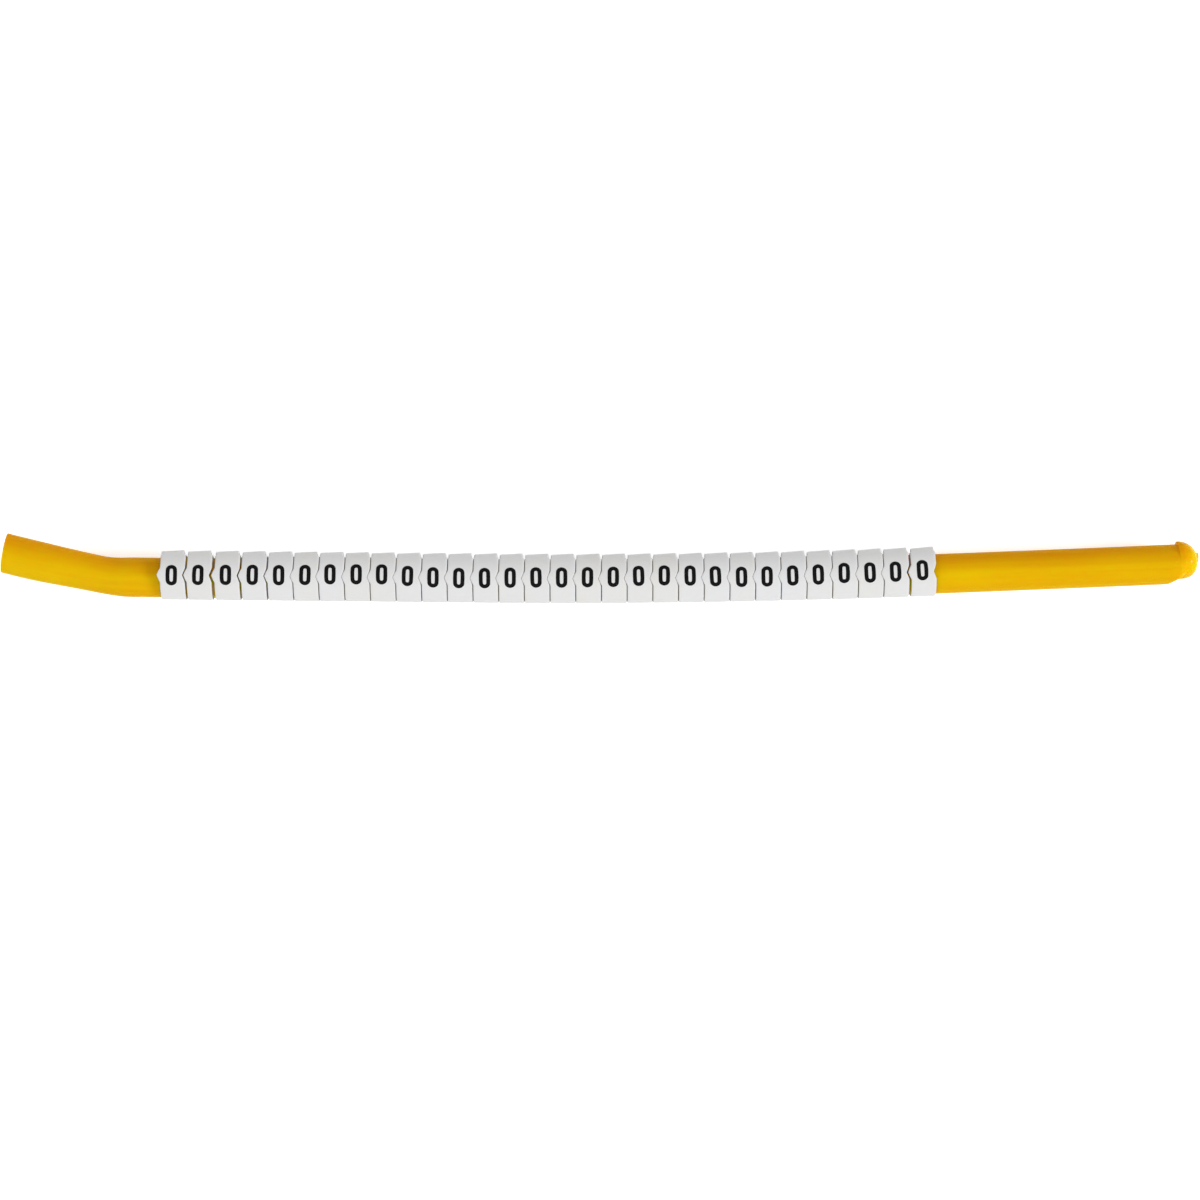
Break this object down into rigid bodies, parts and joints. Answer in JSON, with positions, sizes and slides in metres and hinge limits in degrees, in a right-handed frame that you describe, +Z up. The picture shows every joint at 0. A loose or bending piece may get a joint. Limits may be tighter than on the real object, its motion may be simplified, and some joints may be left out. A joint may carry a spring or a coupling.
{
  "type": "cable marker wand",
  "caption": "Plastic wand with a bent end and a ball tip, carrying a row of slip-on cable marker sleeves whose chevron-cut ends nest in each other.",
  "frame": {"origin": "under the middle of the part's box, on the surface that the part lies on", "axes": "+X along the marker row towards the ball tip, +Y to the side that the bent end points to, +Z up, out of the printed faces of the markers"},
  "size_m": [0.187, 0.0106, 0.0077],
  "materials": {
    "wand_plastic": "satin",
    "marker_plastic": "satin",
    "marker_print": "matte"
  },
  "bodies": {
    "wand": {"wand": "wand_plastic", "marker_02": "marker_plastic", "marker_03": "marker_plastic", "marker_04": "marker_plastic", "marker_05": "marker_plastic", "marker_06": "marker_plastic", "marker_07": "marker_plastic", "marker_08": "marker_plastic", "marker_09": "marker_plastic", "marker_10": "marker_plastic", "marker_11": "marker_plastic", "marker_12": "marker_plastic", "marker_13": "marker_plastic", "marker_14": "marker_plastic", "marker_15": "marker_plastic", "marker_16": "marker_plastic", "marker_17": "marker_plastic", "marker_18": "marker_plastic", "marker_19": "marker_plastic", "marker_20": "marker_plastic", "marker_21": "marker_plastic", "marker_22": "marker_plastic", "marker_23": "marker_plastic", "marker_24": "marker_plastic", "marker_25": "marker_plastic", "marker_26": "marker_plastic", "marker_27": "marker_plastic", "marker_28": "marker_plastic", "marker_29": "marker_plastic"},
    "first_marker": {"marker_01": "marker_plastic"},
    "last_marker": {"marker_30": "marker_plastic"}
  },
  "joints": [
    {"name": "first_marker_slide", "type": "slide", "parent": "wand", "child": "first_marker", "axis": [-1, 0, 0], "range_m": [0, 0.0045]},
    {"name": "last_marker_slide", "type": "slide", "parent": "wand", "child": "last_marker", "axis": [0.9989, 0.0471, 0], "range_m": [0, 0.0376]}
  ]
}
